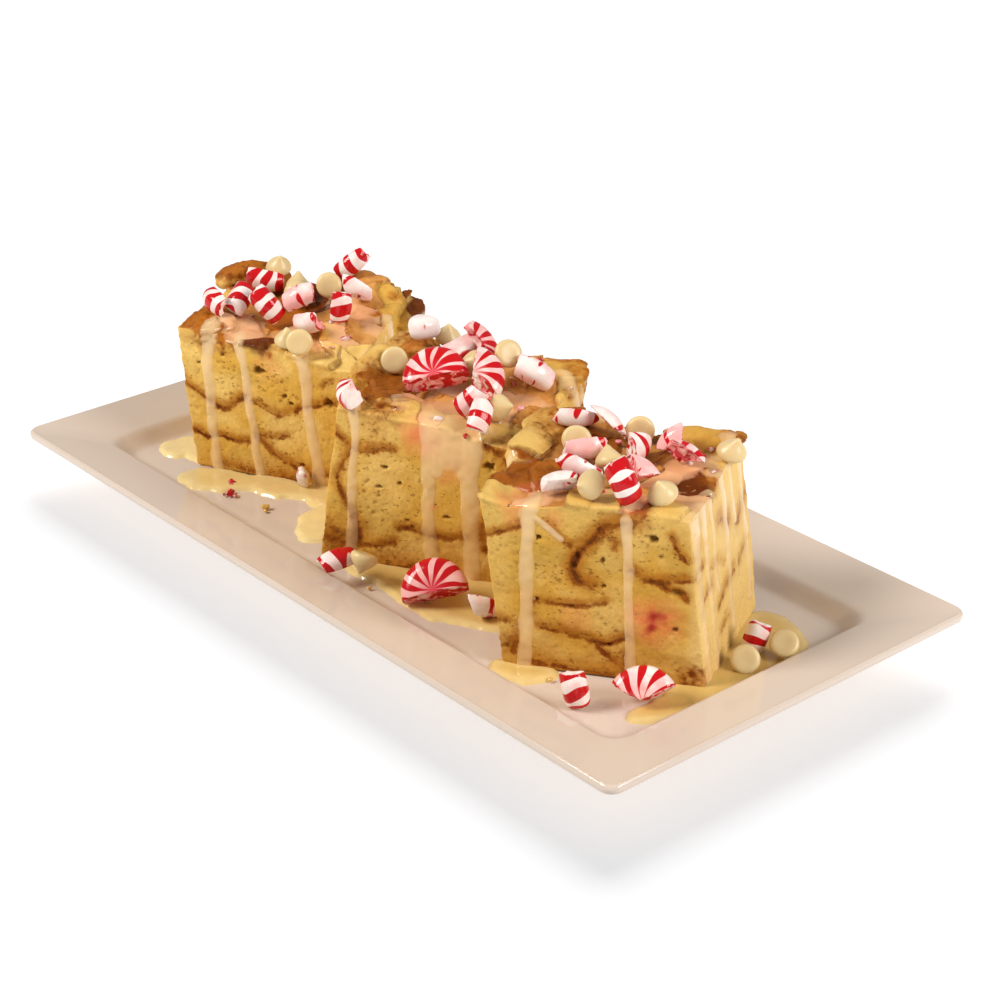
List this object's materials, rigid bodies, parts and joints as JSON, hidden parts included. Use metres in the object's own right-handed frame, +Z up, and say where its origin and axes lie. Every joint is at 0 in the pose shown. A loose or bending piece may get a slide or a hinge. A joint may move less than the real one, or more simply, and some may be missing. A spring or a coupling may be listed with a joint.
{
  "type": "bread pudding",
  "caption": "Cut blocks of marbled bread pudding on a long plate, under milky sauce, broken striped mints and white chips.",
  "frame": {"origin": "centre of the plate's underside", "axes": "+X along the plate, +Y across it towards the blocks' back corners, +Z up"},
  "size_m": [0.355, 0.176, 0.0977],
  "materials": {
    "china": "off-white glaze, high gloss",
    "pudding": "moist bread and custard with brown cinnamon ribbons and a toasted top",
    "mint": "hard candy, white with red stripes, pale broken faces",
    "chip": "cream, satin",
    "sauce": "thin milky sauce, wet gloss"
  },
  "bodies": {
    "root": {"plate": "china", "pudding_back": "pudding", "pudding_front": "pudding", "pudding_middle": "pudding", "mint_back_1": "mint", "mint_back_2": "mint", "mint_back_3": "mint", "mint_back_4": "mint", "mint_back_5": "mint", "mint_back_6": "mint", "mint_back_7": "mint", "mint_back_8": "mint", "mint_back_9": "mint", "mint_front_1": "mint", "mint_front_2": "mint", "mint_front_3": "mint", "mint_front_4": "mint", "mint_front_5": "mint", "mint_front_6": "mint", "mint_front_7": "mint", "mint_front_8": "mint", "mint_front_9": "mint", "mint_front_10": "mint", "mint_middle_1": "mint", "mint_middle_2": "mint", "mint_middle_3": "mint", "mint_middle_4": "mint", "mint_middle_5": "mint", "mint_middle_6": "mint", "mint_middle_7": "mint", "mint_middle_8": "mint", "mint_middle_9": "mint", "mint_plate_1": "mint", "mint_plate_2": "mint", "mint_plate_3": "mint", "mint_plate_4": "mint", "mint_plate_5": "mint", "mint_plate_6": "mint", "chip_back_1": "chip", "chip_back_2": "chip", "chip_back_3": "chip", "chip_back_4": "chip", "chip_back_5": "chip", "chip_back_6": "chip", "chip_front_1": "chip", "chip_front_2": "chip", "chip_front_3": "chip", "chip_front_4": "chip", "chip_front_5": "chip", "chip_front_6": "chip", "chip_middle_1": "chip", "chip_middle_2": "chip", "chip_middle_3": "chip", "chip_middle_4": "chip", "chip_middle_5": "chip", "chip_plate_1": "chip", "chip_plate_2": "chip", "chip_plate_3": "chip"}
  },
  "joints": []
}
